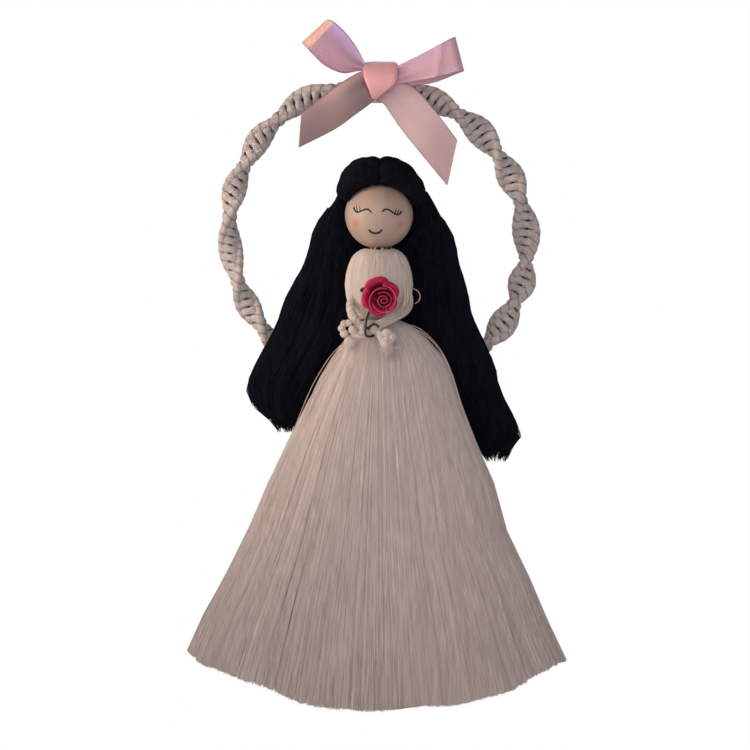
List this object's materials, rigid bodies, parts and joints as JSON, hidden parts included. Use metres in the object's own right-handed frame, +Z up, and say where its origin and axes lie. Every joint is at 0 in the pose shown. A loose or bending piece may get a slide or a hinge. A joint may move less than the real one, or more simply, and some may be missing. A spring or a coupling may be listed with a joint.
{
  "type": "macrame doll ornament",
  "caption": "Hanging macrame doll with a wooden bead head, long hair, a brushed cord skirt and a rose, set in a spiral-knotted hoop with a satin bow.",
  "frame": {"origin": "the hanging point: the underside of the bow band at the top of the hoop, in the plane of the hoop", "axes": "+Z up, -Y the way the doll faces, +X to the viewer's right; the hoop lies in the XZ plane"},
  "size_m": [0.1382, 0.062, 0.2555],
  "materials": {
    "cotton_cord": "undyed brushed cotton, matt",
    "hoop_wire": "plain drawn wire",
    "bead_wood": "smooth pale wood, satin",
    "hair_yarn": "black yarn, slight sheen",
    "satin_ribbon": "satin ribbon, soft sheen",
    "rose_petals": "dyed matt sheet",
    "rose_green": "dyed matt sheet",
    "stem_wire": "dark green covered wire"
  },
  "bodies": {
    "doll": {"hoop_core": "hoop_wire", "hoop_cord_a": "cotton_cord", "hoop_cord_b": "cotton_cord", "hoop_lashing": "cotton_cord", "neck_cords": "cotton_cord", "head_bead": "bead_wood", "hair_cap": "hair_yarn", "hair_roll_left": "hair_yarn", "hair_roll_right": "hair_yarn", "bodice": "cotton_cord", "waist_tie": "cotton_cord", "skirt_front": "cotton_cord", "skirt_back": "cotton_cord"},
    "left_arm": {"arm_left": "cotton_cord", "hand_left": "cotton_cord"},
    "right_arm": {"arm_right": "cotton_cord", "hand_right": "cotton_cord"},
    "rose": {"rose_heart": "rose_petals", "rose_petal_inner_1": "rose_petals", "rose_petal_inner_2": "rose_petals", "rose_petal_inner_3": "rose_petals", "rose_petal_outer_1": "rose_petals", "rose_petal_outer_2": "rose_petals", "rose_petal_outer_3": "rose_petals", "rose_petal_outer_4": "rose_petals", "rose_petal_outer_5": "rose_petals", "rose_calyx": "rose_green", "rose_leaf": "rose_green", "rose_stem": "stem_wire"},
    "bow": {"bow_knot": "satin_ribbon", "bow_loop_left": "satin_ribbon", "bow_loop_right": "satin_ribbon", "bow_tail_left": "satin_ribbon", "bow_tail_right": "satin_ribbon"},
    "left_hair": {"hair_fall_left": "hair_yarn"},
    "right_hair": {"hair_fall_right": "hair_yarn"}
  },
  "joints": [
    {"name": "left_arm_lift", "type": "hinge", "parent": "doll", "child": "left_arm", "pos_m": [-0.01058, -0.03498, -0.06818], "axis": [-0.9397, 0.342, 0], "range_deg": [0, 55]},
    {"name": "right_arm_lift", "type": "hinge", "parent": "doll", "child": "right_arm", "pos_m": [0.0072, -0.03563, -0.05385], "axis": [-1, 0, 0], "range_deg": [0, 60]},
    {"name": "rose_nod", "type": "hinge", "parent": "right_arm", "child": "rose", "pos_m": [-0.0024, -0.04015, -0.0812], "axis": [1, 0, 0], "range_deg": [0, 35]},
    {"name": "bow_tilt", "type": "hinge", "parent": "doll", "child": "bow", "pos_m": [0, 0, 0.0062], "axis": [-1, 0, 0], "range_deg": [0, 30]},
    {"name": "left_hair_swing", "type": "hinge", "parent": "doll", "child": "left_hair", "pos_m": [-0.0177, -0.0206, -0.0376], "axis": [0, 1, 0], "range_deg": [0, 20]},
    {"name": "right_hair_swing", "type": "hinge", "parent": "doll", "child": "right_hair", "pos_m": [0.0185, -0.0206, -0.0376], "axis": [0, -1, 0], "range_deg": [0, 20]}
  ]
}
